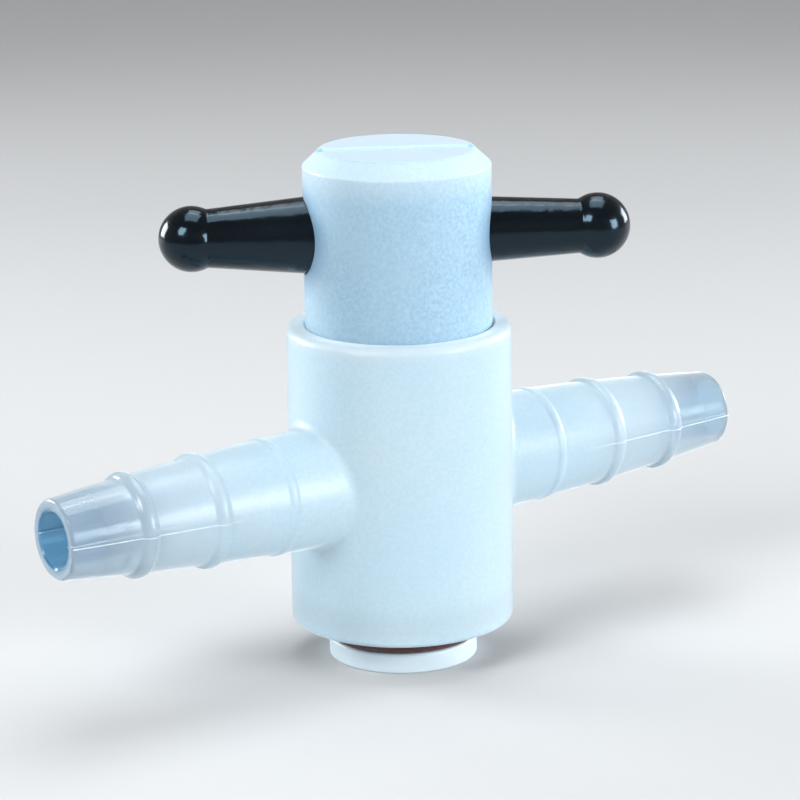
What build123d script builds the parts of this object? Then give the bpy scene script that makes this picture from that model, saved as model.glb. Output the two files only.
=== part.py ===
# Two-way laboratory stopcock, moulded in plastic, standing on its retaining ring.
# Sizes are in millimetres. +Z runs up the plug's axis, +X along the two hose tails,
# and the origin is the centre of the retaining ring's underside.
import os
from math import cos, radians, sin, sqrt

from build123d import *

# Retaining ring, snapped onto the plug's tail below the barrel
ring_height = 2.2
ring_wall = 2.4
ring_top_round = 0.35
ring_foot_chamfer = 0.15
snap_groove_depth = 0.5
snap_clearance = 0.05

# Sealing ring, squeezed a little between the retaining ring and the barrel
seal_cord = 3.0
seal_squeeze = 0.1
seal_bore_clearance = 0.2
seal_face_clearance = 0.1
seal_side_clearance = 0.4

# Barrel, the upright part of the moulded body
barrel_wall = 2.0
barrel_height = 32.65
barrel_top_round = 0.9
barrel_foot_round = 0.5
mouth_round = 0.3
recess_depth = 0.95

# Hose tails, moulded with the barrel. The crown is how far the outline
# stands out over a straight cone halfway along.
tail_axis_on_barrel = 16.25
tail_length = 30.4
tail_root_diameter = 12.8
tail_tip_diameter = 8.4
tail_bore_diameter = 6.0
tail_crown = 0.36
tail_root_round = 1.1
tail_tip_round = 0.3
tail_mouth_chamfer = 0.15

# Rounded beads that hold the hose, counted from the tip
first_bead_from_tip = 8.6
bead_pitch = 8.3
bead_heights = (0.5, 0.4, 0.15)
bead_section_radius = 1.1
bead_root_round = 0.35

# Plug. The taper is the radius lost for each millimetre downwards, a 1 in 5 cone.
plug_diameter = 20.0
plug_taper = 0.1
plug_running_clearance = 0.05
plug_end_setback = 0.3
plug_tail_step = 1.26
plug_tail_lift = 0.25
plug_tail_chamfer = 0.4
port_diameter = 4.0
head_height = 18.85
head_chamfer_height = 1.7
head_chamfer_width = 1.8
head_edge_round = 0.25
index_groove_width = 2.0
index_groove_depth = 0.35

# Handle, one bar pushed through the plug's head like a taper pin until it wedges, with its
# middle a little towards the thick arm. An arm's root is where it leaves the head, and its
# neck is where the ball starts.
handle_on_head = 9.8
handle_length = 50.2
handle_offset = 0.2
handle_thick_root_diameter = 8.3
handle_slim_root_diameter = 7.0
handle_thick_neck_diameter = 6.2
handle_slim_neck_diameter = 5.8
handle_ball_diameter = 7.0
handle_neck_round = 0.5
handle_push_clearance = 0.03
handle_rest_angle = -28.5

# Heights that follow from what stands on what
snap_height = ring_height / 2
seal_height = seal_cord - seal_squeeze
seal_top = ring_height + seal_height
recess_ceiling = seal_top + seal_face_clearance
barrel_bottom = recess_ceiling - recess_depth
barrel_top = barrel_bottom + barrel_height
tail_axis_z = barrel_bottom + tail_axis_on_barrel
head_top = barrel_top + head_height
head_edge_z = head_top - head_chamfer_height
plug_small_end_z = recess_ceiling + plug_end_setback
handle_z = barrel_top + handle_on_head

# Radii that follow from what fits in what
plug_radius = plug_diameter / 2
plug_small_end_radius = plug_radius - plug_taper * (barrel_top - plug_small_end_z)
plug_tail_radius = plug_small_end_radius - plug_tail_step
mouth_radius = plug_radius + plug_running_clearance
barrel_radius = mouth_radius + barrel_wall
ring_bore_radius = plug_tail_radius + snap_clearance
ring_radius = ring_bore_radius + ring_wall
snap_ridge_height = snap_groove_depth - snap_clearance
seal_centre_radius = plug_tail_radius + seal_bore_clearance + seal_cord / 2
recess_radius = seal_centre_radius + seal_cord / 2 + seal_side_clearance

# Hose tail stations along X
tail_tip_x = barrel_radius + tail_length
tail_root_radius = tail_root_diameter / 2
tail_tip_radius = tail_tip_diameter / 2
tail_start_x = sqrt(barrel_radius**2 - tail_root_radius**2)

# Handle stations, measured along the bar from the plug's axis towards the slim arm
thick_root_radius = handle_thick_root_diameter / 2
slim_root_radius = handle_slim_root_diameter / 2
handle_root = sqrt(plug_radius**2 - thick_root_radius**2)
handle_ball_radius = handle_ball_diameter / 2
thick_tip = -handle_length / 2 - handle_offset
slim_tip = handle_length / 2 - handle_offset

# The plug is shown turned by its rest angle, and its port, handle hole and
# index groove all lie along the same direction.
rest_angle = radians(handle_rest_angle)
handle_direction = (cos(rest_angle), sin(rest_angle), 0)
across_handle = (-sin(rest_angle), cos(rest_angle), 0)


def taper_radius(z):
    """Radius of the plug's cone at a height."""
    return plug_radius - plug_taper * (barrel_top - z)


def tail_radius(x):
    """Outer radius of a hose tail at a distance from the barrel's axis, beads left aside."""
    along = (x - tail_start_x) / (tail_tip_x - tail_start_x)
    cone = tail_root_radius + (tail_tip_radius - tail_root_radius) * along
    return cone + 4 * tail_crown * along * (1 - along)


def neck_inside_tip(neck_radius):
    """Distance from a ball's outermost point back to where its neck starts."""
    return handle_ball_radius + sqrt(handle_ball_radius**2 - neck_radius**2)


def upright_plane(z, direction):
    """Plane that holds the Z axis and a level direction, with its origin at a height."""
    return Plane(origin=(0, 0, z), x_dir=direction, z_dir=(direction[1], -direction[0], 0))


# Body: barrel and hose tails, one moulding
tail_middle_x = (tail_start_x + tail_tip_x) / 2
with BuildPart() as body:
    with BuildSketch(Plane.XY.offset(barrel_bottom)):
        Circle(barrel_radius)
    extrude(amount=barrel_height)

    with BuildSketch(upright_plane(tail_axis_z, (1, 0, 0))) as tail_outline:
        with BuildLine():
            Polyline((tail_tip_x, tail_tip_radius), (tail_tip_x, 0), (0, 0), (0, tail_root_radius),
                     (tail_start_x, tail_root_radius))
            ThreePointArc((tail_start_x, tail_root_radius), (tail_middle_x, tail_radius(tail_middle_x)),
                          (tail_tip_x, tail_tip_radius))
        make_face()
        for number, bead_height in enumerate(bead_heights):
            bead_x = tail_tip_x - first_bead_from_tip - number * bead_pitch
            with Locations((bead_x, tail_radius(bead_x) + bead_height - bead_section_radius)):
                Circle(bead_section_radius)
        bead_roots = tail_outline.vertices().filter_by_position(
            Axis.X, tail_start_x, tail_tip_x, inclusive=(False, False))
        fillet(bead_roots, bead_root_round)
    revolve(axis=Axis((0, 0, tail_axis_z), (1, 0, 0)))
    mirror(about=Plane.YZ)

    # The tails run into the barrel with a soft blend
    crossings = body.edges().filter_by(GeomType.BSPLINE)
    fillet(crossings, tail_root_round)
    fillet(body.edges().group_by(Axis.Z)[-1], barrel_top_round)
    fillet(body.edges().group_by(Axis.Z)[0], barrel_foot_round)

    # Tapered seat for the plug, with the sealing ring's recess under it
    with BuildSketch(Plane.XZ) as seat_outline:
        with BuildLine():
            Polyline((0, barrel_bottom), (recess_radius, barrel_bottom),
                     (recess_radius, recess_ceiling),
                     (taper_radius(recess_ceiling) + plug_running_clearance, recess_ceiling),
                     (mouth_radius, barrel_top), (0, barrel_top), close=True)
        make_face()
    revolve(axis=Axis.Z, mode=Mode.SUBTRACT)
    fillet(body.edges().group_by(Axis.Z)[-1].sort_by(SortBy.RADIUS)[0], mouth_round)

    # Straight bore through both tails
    with BuildSketch(Plane.YZ.offset(-tail_tip_x)):
        with Locations((0, tail_axis_z)):
            Circle(tail_bore_diameter / 2)
    extrude(amount=2 * tail_tip_x, mode=Mode.SUBTRACT)
    for tip_rims in (body.edges().group_by(Axis.X)[-1], body.edges().group_by(Axis.X)[0]):
        inner_rim, outer_rim = tip_rims.sort_by(SortBy.RADIUS)
        fillet(outer_rim, tail_tip_round)
        chamfer(inner_rim, tail_mouth_chamfer)
body.part.label = "body"

# Plug: head, tapered part with its cross port, and tail for the retaining ring
with BuildPart() as plug:
    with BuildSketch(Plane.XZ):
        with BuildLine():
            Polyline((0, plug_tail_lift), (plug_tail_radius - plug_tail_chamfer, plug_tail_lift),
                     (plug_tail_radius, plug_tail_lift + plug_tail_chamfer),
                     (plug_tail_radius, plug_small_end_z), (plug_small_end_radius, plug_small_end_z),
                     (plug_radius, barrel_top), (plug_radius, head_edge_z),
                     (plug_radius - head_chamfer_width, head_top), (0, head_top), close=True)
        make_face()
    revolve(axis=Axis.Z)
    head_edges = plug.edges().filter_by(GeomType.CIRCLE).filter_by_position(Axis.Z, head_edge_z, head_top)
    fillet(head_edges, head_edge_round)

    # Groove for the retaining ring's snap ridge
    with BuildSketch(Plane.XZ):
        with Locations((plug_tail_radius, snap_height)):
            RegularPolygon(snap_groove_depth, 4)
    revolve(axis=Axis.Z, mode=Mode.SUBTRACT)

    # Cross port, and above it the handle's hole, tapered between the two roots
    with BuildSketch(Plane(origin=(0, 0, tail_axis_z), x_dir=across_handle, z_dir=handle_direction)):
        Circle(port_diameter / 2)
    extrude(amount=plug_diameter, both=True, mode=Mode.SUBTRACT)
    with BuildSketch(upright_plane(handle_z, handle_direction)):
        with BuildLine():
            Polyline((-plug_diameter, 0), (-plug_diameter, thick_root_radius + handle_push_clearance),
                     (-handle_root, thick_root_radius + handle_push_clearance),
                     (handle_root, slim_root_radius + handle_push_clearance),
                     (plug_diameter, slim_root_radius + handle_push_clearance),
                     (plug_diameter, 0), close=True)
        make_face()
    revolve(axis=Axis((0, 0, handle_z), handle_direction), mode=Mode.SUBTRACT)

    # Index groove across the top, which shows where the port points
    with BuildSketch(Plane(origin=(0, 0, head_top), x_dir=handle_direction, z_dir=(0, 0, 1))):
        Rectangle(plug_diameter, index_groove_width)
    extrude(amount=-index_groove_depth, mode=Mode.SUBTRACT)
plug.part.label = "plug"

# Handle bar: tapered middle in the head, an arm on each side and a ball at each end
thick_neck_radius = handle_thick_neck_diameter / 2
slim_neck_radius = handle_slim_neck_diameter / 2
thick_neck = (thick_tip + neck_inside_tip(thick_neck_radius), thick_neck_radius)
slim_neck = (slim_tip - neck_inside_tip(slim_neck_radius), slim_neck_radius)
ball_shoulder = handle_ball_radius / sqrt(2)
thick_shoulder = (thick_tip + handle_ball_radius - ball_shoulder, ball_shoulder)
slim_shoulder = (slim_tip - handle_ball_radius + ball_shoulder, ball_shoulder)
with BuildPart() as handle_bar:
    with BuildSketch(upright_plane(handle_z, handle_direction)) as bar_outline:
        with BuildLine():
            ThreePointArc((thick_tip, 0), thick_shoulder, thick_neck)
            Polyline(thick_neck, (-handle_root, thick_root_radius), (handle_root, slim_root_radius),
                     slim_neck)
            ThreePointArc(slim_neck, slim_shoulder, (slim_tip, 0))
            Line((slim_tip, 0), (thick_tip, 0))
        make_face()
        necks = [bar_outline.vertices().sort_by_distance(neck)[0] for neck in (thick_neck, slim_neck)]
        fillet(necks, handle_neck_round)
    revolve(axis=Axis((0, 0, handle_z), handle_direction))
handle_bar.part.label = "handle_bar"

# Sealing ring: round cord with the flats that squeezing gives it
with BuildPart() as o_ring:
    with BuildSketch(Plane.XZ):
        with Locations((seal_centre_radius, ring_height + seal_height / 2)):
            Circle(seal_cord / 2)
            Rectangle(seal_cord, seal_height, mode=Mode.INTERSECT)
    revolve(axis=Axis.Z)
o_ring.part.label = "o_ring"

# Retaining ring: plain ring with a ridge inside that snaps into the plug's groove
with BuildPart() as retaining_ring:
    with BuildSketch(Plane.XY):
        Circle(ring_radius)
        Circle(ring_bore_radius, mode=Mode.SUBTRACT)
    extrude(amount=ring_height)
    fillet(retaining_ring.edges().group_by(Axis.Z)[-1].sort_by(SortBy.RADIUS)[-1], ring_top_round)
    chamfer(retaining_ring.edges().group_by(Axis.Z)[0].sort_by(SortBy.RADIUS)[-1], ring_foot_chamfer)
    with BuildSketch(Plane.XZ):
        with Locations((ring_bore_radius, snap_height)):
            RegularPolygon(snap_ridge_height, 4)
    revolve(axis=Axis.Z)
retaining_ring.part.label = "retaining_ring"

os.makedirs("parts", exist_ok=True)
for piece in (body, plug, handle_bar, o_ring, retaining_ring):
    export_step(piece.part, f"parts/{piece.part.label}.step")
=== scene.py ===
# Looks of the plastic laboratory stopcock, in metres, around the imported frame.
import math

import bmesh
import bpy
from mathutils import Matrix, Vector
from mathutils.bvhtree import BVHTree


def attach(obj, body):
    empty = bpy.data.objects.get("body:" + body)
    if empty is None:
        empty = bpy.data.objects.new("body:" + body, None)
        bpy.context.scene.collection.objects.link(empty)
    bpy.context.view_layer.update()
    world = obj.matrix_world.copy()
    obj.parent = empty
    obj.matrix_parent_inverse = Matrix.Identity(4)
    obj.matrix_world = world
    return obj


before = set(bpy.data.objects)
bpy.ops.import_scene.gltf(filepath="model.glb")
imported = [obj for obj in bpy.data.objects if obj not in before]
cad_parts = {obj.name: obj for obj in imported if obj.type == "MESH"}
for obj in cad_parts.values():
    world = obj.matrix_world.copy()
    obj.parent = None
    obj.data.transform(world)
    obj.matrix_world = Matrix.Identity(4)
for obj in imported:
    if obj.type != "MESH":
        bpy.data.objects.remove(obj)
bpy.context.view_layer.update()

MM = 0.001

# Camera where it stood for the photo: angles in degrees, lens and sensor in Blender's millimetres
CAMERA_DISTANCE = 342.3 * MM
CAMERA_AZIMUTH = -34.1
CAMERA_ELEVATION = 15.0
CAMERA_ROLL = -0.8
CAMERA_LENS = 143.6
CAMERA_SENSOR = 36.0
AIM_HEIGHT = 29.9 * MM
AIM_RIGHT = 0.01 * MM
AIM_UP = -1.57 * MM

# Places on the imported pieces
TAIL_AXIS_Z = 20.5 * MM
TAIL_TIP_X = 42.45 * MM
BORE_RADIUS = 3.0 * MM
BARREL_TOP_Z = 36.9 * MM
HEAD_TOP_Z = 55.75 * MM
HANDLE_Z = 46.7 * MM
HANDLE_ANGLE = math.radians(-28.5)

# Scales of the materials' noise, in waves a metre
FINE_GRAIN = 2600.0
BODY_CLOUDS = 75.0
PLUG_CLOUDS = 120.0
BAR_WAVES = 420.0
BAR_SMUDGES = 90.0
SEAL_GRAIN = 1800.0
RING_GRAIN = 1200.0
SEAM_WEAR = 900.0

# Middle parts of a noise's values, each stretched over a whole look
WIDE_MIDDLE = (0.3, 0.7)
NARROW_MIDDLE = (0.35, 0.65)
MOTTLE_MIDDLE = (0.34, 0.66)

# Body: milky plastic at the barrel, clearer towards the tips of the tails; painted light at the mouth,
# painted shade in the bores and painted shade of the seal near the foot
MILK_BLUE = (0.71, 0.905, 1.0)
MILK_WHITE = (0.77, 0.93, 1.0)
MILK_GRAIN = (0.54, 0.79, 0.98)
MILK_TIP = (0.82, 0.945, 1.0)
# Painted light near the barrel's mouth
MOUTH_PAINTED_LIGHT = (0.88, 0.96, 0.99)
# Painted shade inside the bores
BORE_SHADE_BLUE = (0.08, 0.29, 0.51)
# Painted shade of the dark seal seen through the wall near the foot
SEAL_SHADE_GREY = (0.42, 0.44, 0.47)
BODY_GLOW = (0.92, 0.97, 1.0)
BODY_IOR = 1.49
ROUGH_BARREL, ROUGH_TAIL, ROUGH_TIP = 0.38, 0.285, 0.13
ROUGH_CLOUDS = 0.03
CLEAR_BARREL, CLEAR_TAIL, CLEAR_TIP = 0.36, 0.5, 0.74
CLEAR_IN_BORE = 0.7

# Stretches of the body, out from the plug's axis along a tail, over which its looks change
PALER_ALONG = (20.0 * MM, 42.5 * MM)
# Over this stretch the painted shade in the bores deepens
BORE_SHADE_ALONG = (12.0 * MM, 36.0 * MM)
SMOOTHER_ALONG = (14.0 * MM, 32.0 * MM)
CLEARER_ALONG = (16.0 * MM, 32.0 * MM)
CLEAREST_ALONG = (31.0 * MM, 39.0 * MM)
# The painted shade of the seal stays on the barrel, up to here
SEAL_SHADE_ALONG = (12.0 * MM, 12.5 * MM)
# The polish begins inside the bead nearest the tip, which hides the step that denoising leaves there
POLISHED_ALONG = (33.4 * MM, 34.4 * MM)

# Heights on the body and distances from a bore's axis over which its looks change
# Painted shade of the seal, fading in and out over these heights
SEAL_SHADE_LOW = (4.9 * MM, 5.9 * MM)
SEAL_SHADE_HIGH = (7.4 * MM, 8.8 * MM)
# Painted light near the barrel's mouth
MOUTH_LIGHT_HEIGHT = (BARREL_TOP_Z - 1.6 * MM, BARREL_TOP_Z - 0.3 * MM)
# The bore's wall, where the painted shade in the bores lies
BORE_WALL = (BORE_RADIUS + 0.1 * MM, BORE_RADIUS + 0.7 * MM)

# Plug: pale waxy plastic with a fine mottle; painted shade on one side, around the handle and on the top
# face, a painted highlight on the chamfer and painted light in the groove and inside the barrel's mouth
PLUG_DARK = (0.30, 0.50, 0.68)
PLUG_LIGHT = (0.44, 0.665, 0.81)
PLUG_CLOUD = (0.46, 0.62, 0.73)
# Painted shade on one side of the plug
PLUG_SIDE_SHADE = (0.34, 0.47, 0.55)
# Painted shade around the handle bar
PLUG_HANDLE_SHADE = (0.16, 0.32, 0.50)
# Painted shade on the top face
PLUG_TOP_SHADE = (0.45, 0.56, 0.64)
# Painted highlight on the chamfer, fading down the side
PLUG_CHAMFER_HIGHLIGHT = (0.80, 0.88, 0.92)
# Painted light in the groove on the top, against its shade
PLUG_GROOVE_LIGHT = (0.78, 0.88, 0.94)
# Painted light on the plug just inside the barrel's mouth
PLUG_COVERED_LIGHT = (0.80, 0.94, 1.0)
PLUG_GLOW = (0.9, 0.96, 1.0)
PLUG_IOR = 1.38
PLUG_ROUGH = (0.38, 0.48)

# Where the plug's painted shade and light change: how far towards its shaded side, heights, and distances
# from an axis
SHADED_SIDE = (-0.90, -0.44, 0.0)
SIDE_SHADE_REACH = (3.0 * MM, 9.0 * MM)
HANDLE_SHADE_RADIUS = (3.8 * MM, 6.6 * MM)
TOP_SHADE_HEIGHT = (HEAD_TOP_Z - 0.03 * MM, HEAD_TOP_Z - 0.01 * MM)
HIGHLIGHT_HEIGHT = (HEAD_TOP_Z - 4.6 * MM, HEAD_TOP_Z - 1.4 * MM)
HIGHLIGHT_RADIUS = (7.9 * MM, 8.5 * MM)
GROOVE_LIGHT_HEIGHT = (HEAD_TOP_Z - 0.05 * MM, HEAD_TOP_Z - 0.01 * MM)
GROOVE_LIGHT_RADIUS = (7.7 * MM, 7.9 * MM)
COVERED_LIGHT_HEIGHT = (BARREL_TOP_Z - 2.0 * MM, BARREL_TOP_Z - 0.4 * MM)

# Handle bar, seal, retaining ring and the body's seams
BAR_BLACK, BAR_SMUDGE = (0.001, 0.0015, 0.002), (0.003, 0.004, 0.0055)
BAR_REFLECTION = (0.5, 0.78, 1.0)
BAR_IOR = 1.5
BAR_ROUGH = (0.12, 0.2)
SEAL_DARK, SEAL_LIGHT = (0.045, 0.012, 0.010), (0.085, 0.022, 0.016)
SEAL_ROUGH = (0.4, 0.6)
RING_SHADE, RING_WHITE = (0.70, 0.83, 0.90), (0.76, 0.87, 0.93)
RING_ROUGH = (0.34, 0.42)
SEAM_SHADE, SEAM_WHITE = (0.62, 0.81, 0.94), (0.82, 0.93, 0.98)
SEAM_ROUGH = (0.25, 0.4)

# Parting line: raised seams, lower on the tail towards -X (-1) than on the one towards +X (1)
SEAM_HEIGHT = {-1: 0.02 * MM, 1: 0.06 * MM}
SEAM_HALF_WIDTH = 0.075 * MM
SEAM_BURIED = 0.03 * MM
SEAM_TIP_X = TAIL_TIP_X - 0.05 * MM
SEAM_STEPS = 150
NIB_HEIGHT = 0.13 * MM
NIB_LENGTH = 0.3 * MM
# Points across a seam, each as a part of its half width and a part of its height
SEAM_SECTION = ((-1.0, 0.0), (-0.55, 0.6), (0.0, 1.0), (0.55, 0.6), (1.0, 0.0))
# Where along a tail a seam starts to fade, and where it ends
OUTER_SEAM_FADE = (29 * MM, 21 * MM)
INNER_SEAM_FADE = (38 * MM, 28 * MM)
# Rays find the wall: from beside the tail or from its axis, just above the mesh's row of corners
BESIDE_TAIL_Y = 20 * MM
RAY_LIFT = 0.004 * MM

# Stage: a round floor, with its sizes in metres, and its greys near the object and far from it
FLOOR_RADIUS = 1.3
FLOOR_BEND = 0.4
WALL_HEIGHT = 1.1
FLAT_RINGS, BEND_RINGS, TURN_STEPS = 3, 12, 96
FLOOR_NEAR = (0.6, 0.6, 0.6)
FLOOR_FAR = (0.93, 0.93, 0.93)
NEAR_TO_FAR = (0.25, 0.8)

# Lamps around the object, with their turn counted from the camera's azimuth
LAMP_WHITE = (0.96, 0.98, 1.0)
LAMP_BLUE = (0.88, 0.95, 1.0)
# Turn, elevation, distance, size, power, colour and spread, in degrees, metres and watts
LAMPS = {
    "overhead": (170, 84, 0.45, 0.28, 0.85, LAMP_BLUE, 180),
    "back_top": (175, 62, 0.5, 0.2, 0.38, LAMP_WHITE, 180),
    "left_window": (-38, 36, 0.5, 0.2, 1.45, LAMP_WHITE, 180),
    "right_window": (60, 12, 0.5, 0.2, 0.63, LAMP_WHITE, 110),
    "back_left": (-118, 12, 0.5, 0.2, 0.7, LAMP_WHITE, 110),
    "back_right": (120, 12, 0.5, 0.2, 0.55, LAMP_WHITE, 110),
}
WORLD_STRENGTH = 0.225


# Small helpers for node materials and meshes


def new_material(name):
    """A material with its tree, which holds one Principled shader wired to the output."""
    material = bpy.data.materials.new(name)
    material.use_nodes = True
    tree = material.node_tree
    tree.nodes.clear()
    output = tree.nodes.new("ShaderNodeOutputMaterial")
    shader = tree.nodes.new("ShaderNodeBsdfPrincipled")
    tree.links.new(shader.outputs["BSDF"], output.inputs["Surface"])
    return material, tree, shader


def set_sockets(node, **values):
    """Sets fixed values on a node's inputs, with _ for each space in an input's name."""
    for name, value in values.items():
        node.inputs[name.replace("_", " ")].default_value = value


def feed(tree, node, **sources):
    """Links sockets to a node's inputs, with _ for each space in an input's name."""
    for name, source in sources.items():
        tree.links.new(source, node.inputs[name.replace("_", " ")])


def object_point(tree):
    """The point in the object's own metres, as a vector socket."""
    return tree.nodes.new("ShaderNodeTexCoord").outputs["Object"]


def coordinates(tree, where):
    """The three number sockets of a vector socket."""
    split = tree.nodes.new("ShaderNodeSeparateXYZ")
    feed(tree, split, Vector=where)
    return split.outputs["X"], split.outputs["Y"], split.outputs["Z"]


def noise(tree, where, scale, detail=3.0, roughness=0.5):
    """Noise read at a vector socket, as its factor socket."""
    node = tree.nodes.new("ShaderNodeTexNoise")
    set_sockets(node, Scale=scale, Detail=detail, Roughness=roughness)
    feed(tree, node, Vector=where)
    return node.outputs["Fac"]


def between(tree, value, span, result=(0.0, 1.0)):
    """A number socket mapped from a span to a result at each of its ends, clamped."""
    node = tree.nodes.new("ShaderNodeMapRange")
    node.clamp = True
    set_sockets(node, From_Min=span[0], From_Max=span[1], To_Min=result[0], To_Max=result[1])
    feed(tree, node, Value=value)
    return node.outputs["Result"]


def mix(tree, factor, first, second):
    """Two colours, or colour sockets, mixed by a factor socket."""
    node = tree.nodes.new("ShaderNodeMix")
    node.data_type = "RGBA"
    tree.links.new(factor, node.inputs[0])
    for index, colour in ((6, first), (7, second)):
        if isinstance(colour, tuple):
            node.inputs[index].default_value = (*colour, 1.0)
        else:
            tree.links.new(colour, node.inputs[index])
    return node.outputs[2]


def math_node(tree, operation, first, second=None):
    """One Math node on a number socket and a second socket or number."""
    node = tree.nodes.new("ShaderNodeMath")
    node.operation = operation
    tree.links.new(first, node.inputs[0])
    if isinstance(second, (int, float)):
        node.inputs[1].default_value = second
    elif second is not None:
        tree.links.new(second, node.inputs[1])
    return node.outputs["Value"]


def product(tree, first, *others):
    """A number socket multiplied by other sockets or numbers."""
    result = first
    for other in others:
        result = math_node(tree, "MULTIPLY", result, other)
    return result


def from_axis(tree, first, second):
    """How far a point is from an axis, from its two coordinates across that axis."""
    squares = math_node(tree, "ADD", product(tree, first, first), product(tree, second, second))
    return math_node(tree, "SQRT", squares)


def vector_node(tree, operation, first, second=(0.0, 0.0, 0.0)):
    """One Vector Math node on a vector socket and a fixed vector, as its vector or its number."""
    node = tree.nodes.new("ShaderNodeVectorMath")
    node.operation = operation
    tree.links.new(first, node.inputs[0])
    node.inputs[1].default_value = second
    gives_number = operation in ("DOT_PRODUCT", "LENGTH")
    return node.outputs["Value" if gives_number else "Vector"]


def bump(tree, shader, height, distance, strength):
    """Bump from a height socket, on the shader's normal."""
    node = tree.nodes.new("ShaderNodeBump")
    set_sockets(node, Strength=strength, Distance=distance)
    feed(tree, node, Height=height)
    feed(tree, shader, Normal=node.outputs["Normal"])


def soft_inside(shader, weight, radius, depth):
    """Light that enters a pale plastic and comes out beside where it went in."""
    shader.subsurface_method = "RANDOM_WALK"
    set_sockets(shader, Subsurface_Weight=weight, Subsurface_Radius=radius, Subsurface_Scale=depth)


def edge_glow(shader, weight, roughness, tint):
    """The pale glow that a milky plastic shows where it is seen edge on."""
    set_sockets(shader, Sheen_Weight=weight, Sheen_Roughness=roughness, Sheen_Tint=(*tint, 1.0))


def link_mesh(name, mesh, material):
    """An object in the scene from a finished bmesh, with one material."""
    data = bpy.data.meshes.new(name)
    mesh.to_mesh(data)
    mesh.free()
    data.materials.append(material)
    obj = bpy.data.objects.new(name, data)
    bpy.context.scene.collection.objects.link(obj)
    return obj


# Materials


def body_colour(tree, where, along, height, cloud, in_bore):
    """Grainy milk, paler towards the tips, with painted light at the mouth, painted shade in the bores
    and painted shade of the seal near the foot.
    """
    grain = between(tree, noise(tree, where, FINE_GRAIN, detail=2.0), NARROW_MIDDLE, (0.0, 0.35))
    milk = mix(tree, grain, mix(tree, cloud, MILK_BLUE, MILK_WHITE), MILK_GRAIN)
    pale = mix(tree, between(tree, along, PALER_ALONG), milk, MILK_TIP)
    # Painted shade inside the bores
    pale = mix(tree, in_bore, pale, BORE_SHADE_BLUE)
    # Painted shade of the seal, seen through the wall near the foot
    above_foot = between(tree, height, SEAL_SHADE_LOW)
    below_tails = between(tree, height, SEAL_SHADE_HIGH, (0.12, 0.0))
    on_barrel = between(tree, along, SEAL_SHADE_ALONG, (1.0, 0.0))
    pale = mix(tree, product(tree, above_foot, below_tails, on_barrel), pale, SEAL_SHADE_GREY)
    # Painted light near the barrel's mouth
    mouth = between(tree, height, MOUTH_LIGHT_HEIGHT, (0.0, 0.6))
    return mix(tree, mouth, pale, MOUTH_PAINTED_LIGHT)


def natural_plastic():
    """Translucent natural polypropylene, clear and glossy beyond the bead nearest each tip, with the
    painted light and shade of body_colour.
    """
    material, tree, shader = new_material("natural_plastic")
    where = object_point(tree)
    x, y, z = coordinates(tree, where)
    along = math_node(tree, "ABSOLUTE", x)
    cloud = between(tree, noise(tree, where, BODY_CLOUDS, detail=2.0), NARROW_MIDDLE)
    from_bore_axis = from_axis(tree, y, math_node(tree, "SUBTRACT", z, TAIL_AXIS_Z))
    # Where the painted shade in the bores lies; it also makes the bores less clear
    in_bore = between(tree, from_bore_axis, BORE_WALL, (1.0, 0.0))
    in_bore = product(tree, in_bore, between(tree, along, BORE_SHADE_ALONG, (0.25, 1.0)))

    satin = between(tree, along, SMOOTHER_ALONG, (ROUGH_BARREL, ROUGH_TAIL))
    polish = between(tree, along, POLISHED_ALONG, (0.0, ROUGH_TAIL - ROUGH_TIP))
    rough = math_node(tree, "SUBTRACT", satin, polish)
    rough = math_node(tree, "ADD", rough, product(tree, cloud, ROUGH_CLOUDS))
    wall = between(tree, along, CLEARER_ALONG, (CLEAR_BARREL, CLEAR_TAIL))
    tip = between(tree, along, CLEAREST_ALONG, (0.0, CLEAR_TIP - CLEAR_TAIL))
    clouded_bore = between(tree, in_bore, (0.0, 1.0), (1.0, CLEAR_IN_BORE))
    clear = product(tree, math_node(tree, "ADD", wall, tip), clouded_bore)

    colour = body_colour(tree, where, along, z, cloud, in_bore)
    feed(tree, shader, Base_Color=colour, Roughness=rough, Transmission_Weight=clear)
    set_sockets(shader, IOR=BODY_IOR)
    edge_glow(shader, weight=1.0, roughness=0.3, tint=BODY_GLOW)
    return material


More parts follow.
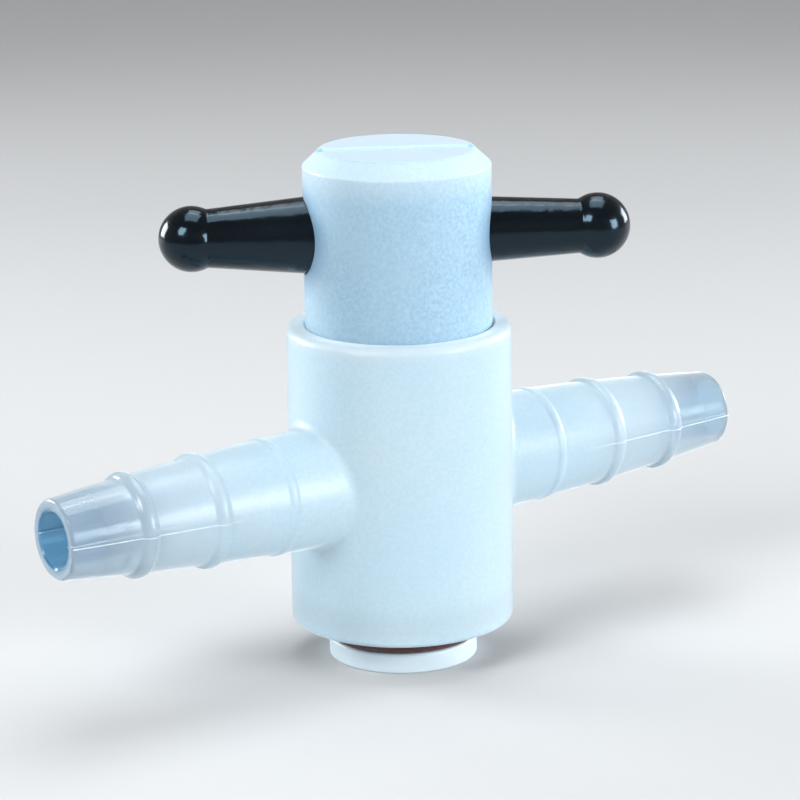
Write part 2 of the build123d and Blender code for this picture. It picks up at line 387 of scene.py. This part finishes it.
def plug_colour(tree, where, from_plug_axis, height, mottle):
    """Mottled, with painted shade on one side, around the handle and on the top face, a painted highlight
    near the top, and painted light in the groove and inside the barrel's mouth.
    """
    cloud = between(tree, noise(tree, where, PLUG_CLOUDS), WIDE_MIDDLE, (0.0, 0.4))
    pale = mix(tree, cloud, mix(tree, mottle, PLUG_DARK, PLUG_LIGHT), PLUG_CLOUD)
    # Painted shade on one side of the plug
    to_shaded_side = vector_node(tree, "DOT_PRODUCT", where, SHADED_SIDE)
    pale = mix(tree, between(tree, to_shaded_side, SIDE_SHADE_REACH, (0.0, 0.45)), pale, PLUG_SIDE_SHADE)

    # Painted shade around the handle bar
    handle_line = (math.cos(HANDLE_ANGLE), math.sin(HANDLE_ANGLE), 0.0)
    from_handle = vector_node(tree, "SUBTRACT", where, (0.0, 0.0, HANDLE_Z))
    across_handle = vector_node(tree, "CROSS_PRODUCT", from_handle, handle_line)
    handle_shade = between(tree, vector_node(tree, "LENGTH", across_handle), HANDLE_SHADE_RADIUS, (0.8, 0.0))
    pale = mix(tree, handle_shade, pale, PLUG_HANDLE_SHADE)

    # Painted shade on the top face
    pale = mix(tree, between(tree, height, TOP_SHADE_HEIGHT, (0.0, 0.85)), pale, PLUG_TOP_SHADE)
    # Painted highlight on the chamfer, fading down the side
    near_top = between(tree, height, HIGHLIGHT_HEIGHT)
    chamfer = between(tree, from_plug_axis, HIGHLIGHT_RADIUS, (0.0, 0.36))
    pale = mix(tree, product(tree, chamfer, near_top), pale, PLUG_CHAMFER_HIGHLIGHT)
    # Painted light in the groove, against its shade
    below_face = between(tree, height, GROOVE_LIGHT_HEIGHT, (0.6, 0.0))
    within_face = between(tree, from_plug_axis, GROOVE_LIGHT_RADIUS, (1.0, 0.0))
    pale = mix(tree, product(tree, below_face, within_face, near_top), pale, PLUG_GROOVE_LIGHT)
    # Painted light on the plug just inside the barrel's mouth
    return mix(tree, between(tree, height, COVERED_LIGHT_HEIGHT, (0.8, 0.0)), pale, PLUG_COVERED_LIGHT)


def fluoropolymer():
    """White waxy fluoropolymer with a fine mottle, and the painted shade and light of plug_colour."""
    material, tree, shader = new_material("white_fluoropolymer")
    where = object_point(tree)
    x, y, z = coordinates(tree, where)
    mottle = between(tree, noise(tree, where, FINE_GRAIN, roughness=0.6), MOTTLE_MIDDLE)
    colour = plug_colour(tree, where, from_axis(tree, x, y), z, mottle)
    feed(tree, shader, Base_Color=colour, Roughness=between(tree, mottle, (0.0, 1.0), PLUG_ROUGH))
    set_sockets(shader, IOR=PLUG_IOR)
    soft_inside(shader, weight=0.6, radius=(1.3, 1.1, 1.0), depth=0.5 * MM)
    edge_glow(shader, weight=0.4, roughness=0.25, tint=PLUG_GLOW)
    return material


def black_plastic():
    """Glossy black moulded plastic with a slightly wavy skin."""
    material, tree, shader = new_material("black_plastic")
    where = object_point(tree)
    smudge = noise(tree, where, BAR_SMUDGES, detail=4.0)
    gloss = between(tree, smudge, WIDE_MIDDLE, BAR_ROUGH)
    feed(tree, shader, Base_Color=mix(tree, smudge, BAR_BLACK, BAR_SMUDGE), Roughness=gloss)
    bump(tree, shader, noise(tree, where, BAR_WAVES), distance=0.1 * MM, strength=0.8)
    set_sockets(shader, IOR=BAR_IOR, Specular_Tint=(*BAR_REFLECTION, 1.0))
    return material


def dark_rubber():
    """Dark red-brown elastomer."""
    material, tree, shader = new_material("dark_rubber")
    grain = noise(tree, object_point(tree), SEAL_GRAIN)
    satin = between(tree, grain, WIDE_MIDDLE, SEAL_ROUGH)
    feed(tree, shader, Base_Color=mix(tree, grain, SEAL_DARK, SEAL_LIGHT), Roughness=satin)
    bump(tree, shader, grain, distance=0.01 * MM, strength=0.5)
    return material


def white_plastic():
    """White moulded plastic of the retaining ring."""
    material, tree, shader = new_material("white_plastic")
    grain = noise(tree, object_point(tree), RING_GRAIN)
    satin = between(tree, grain, WIDE_MIDDLE, RING_ROUGH)
    feed(tree, shader, Base_Color=mix(tree, grain, RING_SHADE, RING_WHITE), Roughness=satin)
    soft_inside(shader, weight=0.6, radius=(1.2, 1.1, 1.0), depth=0.4 * MM)
    return material


def seam_plastic():
    """The body's plastic in its thin seams, which are whiter than the walls."""
    material, tree, shader = new_material("natural_plastic_seam")
    worn = between(tree, noise(tree, object_point(tree), SEAM_WEAR, detail=2.0), NARROW_MIDDLE)
    satin = between(tree, worn, (0.0, 1.0), SEAM_ROUGH)
    feed(tree, shader, Base_Color=mix(tree, worn, SEAM_SHADE, SEAM_WHITE), Roughness=satin)
    set_sockets(shader, IOR=BODY_IOR)
    return material


def floor_grey():
    """Matt grey, paler away from the object."""
    material, tree, shader = new_material("floor")
    x, y = coordinates(tree, object_point(tree))[:2]
    far = between(tree, from_axis(tree, x, y), NEAR_TO_FAR)
    feed(tree, shader, Base_Color=mix(tree, far, FLOOR_NEAR, FLOOR_FAR))
    set_sockets(shader, Roughness=0.85, Specular_IOR_Level=0.15)
    return material


FINISHES = {
    "body": natural_plastic,
    "plug": fluoropolymer,
    "handle_bar": black_plastic,
    "o_ring": dark_rubber,
    "retaining_ring": white_plastic,
}
for node_name, finish in FINISHES.items():
    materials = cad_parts[node_name].data.materials
    materials.clear()
    materials.append(finish())


# The moulding's parting line: fine raised seams along both sides of both tails


def seam(mesh, surface, end, start_y, toward_y, fade):
    """One ridge on a tail's wall, from its tip until it fades out towards the barrel."""
    fade_from, fade_to = fade
    rows = []
    for i in range(SEAM_STEPS + 1):
        x = SEAM_TIP_X + (fade_to - SEAM_TIP_X) * i / SEAM_STEPS
        start = Vector((end * x, start_y, TAIL_AXIS_Z + RAY_LIFT))
        hit = surface.ray_cast(start, Vector((0, toward_y, 0)))[0]
        if hit is None:
            continue
        strength = min(1.0, max(0.0, (x - fade_to) / (fade_from - fade_to)))
        nib = NIB_HEIGHT * math.exp(-(((SEAM_TIP_X - x) / NIB_LENGTH) ** 2))
        height = (SEAM_HEIGHT[end] + nib) * strength
        row = []
        for side, rise in SEAM_SECTION:
            lift = rise * (height + SEAM_BURIED) - SEAM_BURIED
            z = TAIL_AXIS_Z + side * SEAM_HALF_WIDTH
            row.append(mesh.verts.new((end * x, hit.y - toward_y * lift, z)))
        rows.append(row)
    for near, far in zip(rows, rows[1:]):
        for i in range(len(near)):
            j = (i + 1) % len(near)
            mesh.faces.new((near[i], near[j], far[j], far[i])).smooth = True
    mesh.faces.new(rows[0])
    mesh.faces.new(reversed(rows[-1]))


def parting_line():
    """The seams outside and inside both tails, as one piece on the moulded body."""
    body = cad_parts["body"].data
    surface = BVHTree.FromPolygons([v.co for v in body.vertices], [p.vertices for p in body.polygons])
    mesh = bmesh.new()
    for end in (-1, 1):
        for side in (-1, 1):
            seam(mesh, surface, end, side * BESIDE_TAIL_Y, -side, OUTER_SEAM_FADE)
            seam(mesh, surface, end, 0.0, side, INNER_SEAM_FADE)
    bmesh.ops.recalc_face_normals(mesh, faces=mesh.faces)
    piece = link_mesh("parting_line", mesh, seam_plastic())
    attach(piece, "housing")


parting_line()


# Stage: a pale floor that sweeps up into a backdrop, soft lamps and the camera


def round_floor():
    """A round floor that curves up into a wall on all sides, so that every view has the same backdrop."""
    flat_radius = FLOOR_RADIUS - FLOOR_BEND
    profile = [(flat_radius * i / FLAT_RINGS, 0.0) for i in range(1, FLAT_RINGS + 1)]
    for i in range(1, BEND_RINGS + 1):
        angle = math.pi / 2 * i / BEND_RINGS
        rise = FLOOR_BEND - FLOOR_BEND * math.cos(angle)
        profile.append((flat_radius + FLOOR_BEND * math.sin(angle), rise))
    profile.append((FLOOR_RADIUS, WALL_HEIGHT))
    mesh = bmesh.new()
    middle = mesh.verts.new((0.0, 0.0, 0.0))
    turns = [math.tau * i / TURN_STEPS for i in range(TURN_STEPS)]
    rings = [[mesh.verts.new((r * math.cos(t), r * math.sin(t), z)) for t in turns] for r, z in profile]
    for i in range(TURN_STEPS):
        j = (i + 1) % TURN_STEPS
        mesh.faces.new((middle, rings[0][i], rings[0][j])).smooth = True
        for low, high in zip(rings, rings[1:]):
            mesh.faces.new((low[i], high[i], high[j], low[j])).smooth = True
    link_mesh("floor", mesh, floor_grey())


def away_from_object(azimuth, elevation):
    """The direction from the object that has this azimuth and elevation, in degrees."""
    a, e = math.radians(azimuth), math.radians(elevation)
    return Vector((math.sin(a) * math.cos(e), -math.cos(a) * math.cos(e), math.sin(e)))


def softbox(name, turn, elevation, distance, size, power, colour, spread):
    """A square area lamp that looks at the middle of the object."""
    data = bpy.data.lights.new(name, "AREA")
    data.shape = "SQUARE"
    data.size = size
    data.energy = power
    data.color = colour
    data.spread = math.radians(spread)
    lamp = bpy.data.objects.new(name, data)
    away = away_from_object(CAMERA_AZIMUTH + turn, elevation)
    lamp.location = Vector((0, 0, AIM_HEIGHT)) + away * distance
    lamp.rotation_euler = away.to_track_quat("Z", "Y").to_euler()
    bpy.context.scene.collection.objects.link(lamp)


def studio_world():
    """A weak white light from all around."""
    world = bpy.data.worlds.new("studio")
    world.use_nodes = True
    background = world.node_tree.nodes["Background"]
    set_sockets(background, Color=(1.0, 1.0, 1.0, 1.0), Strength=WORLD_STRENGTH)
    bpy.context.scene.world = world


def photo_camera():
    """The camera at the photo's place, with its small roll."""
    data = bpy.data.cameras.new("camera")
    data.lens = CAMERA_LENS
    data.sensor_width = CAMERA_SENSOR
    camera = bpy.data.objects.new("camera", data)
    azimuth, roll = math.radians(CAMERA_AZIMUTH), math.radians(CAMERA_ROLL)
    back = away_from_object(CAMERA_AZIMUTH, CAMERA_ELEVATION)
    level_right = Vector((math.cos(azimuth), math.sin(azimuth), 0))
    level_up = back.cross(level_right)
    right = level_right * math.cos(roll) + level_up * math.sin(roll)
    up = level_up * math.cos(roll) - level_right * math.sin(roll)
    aim = Vector((0, 0, AIM_HEIGHT)) + level_right * AIM_RIGHT + level_up * AIM_UP
    turn = Matrix((right, up, back)).transposed().to_4x4()
    camera.matrix_world = Matrix.Translation(aim + back * CAMERA_DISTANCE) @ turn
    bpy.context.scene.collection.objects.link(camera)
    bpy.context.scene.camera = camera


round_floor()
for lamp_name, settings in LAMPS.items():
    softbox(lamp_name, *settings)
studio_world()
photo_camera()
bpy.context.scene.view_settings.view_transform = "Standard"
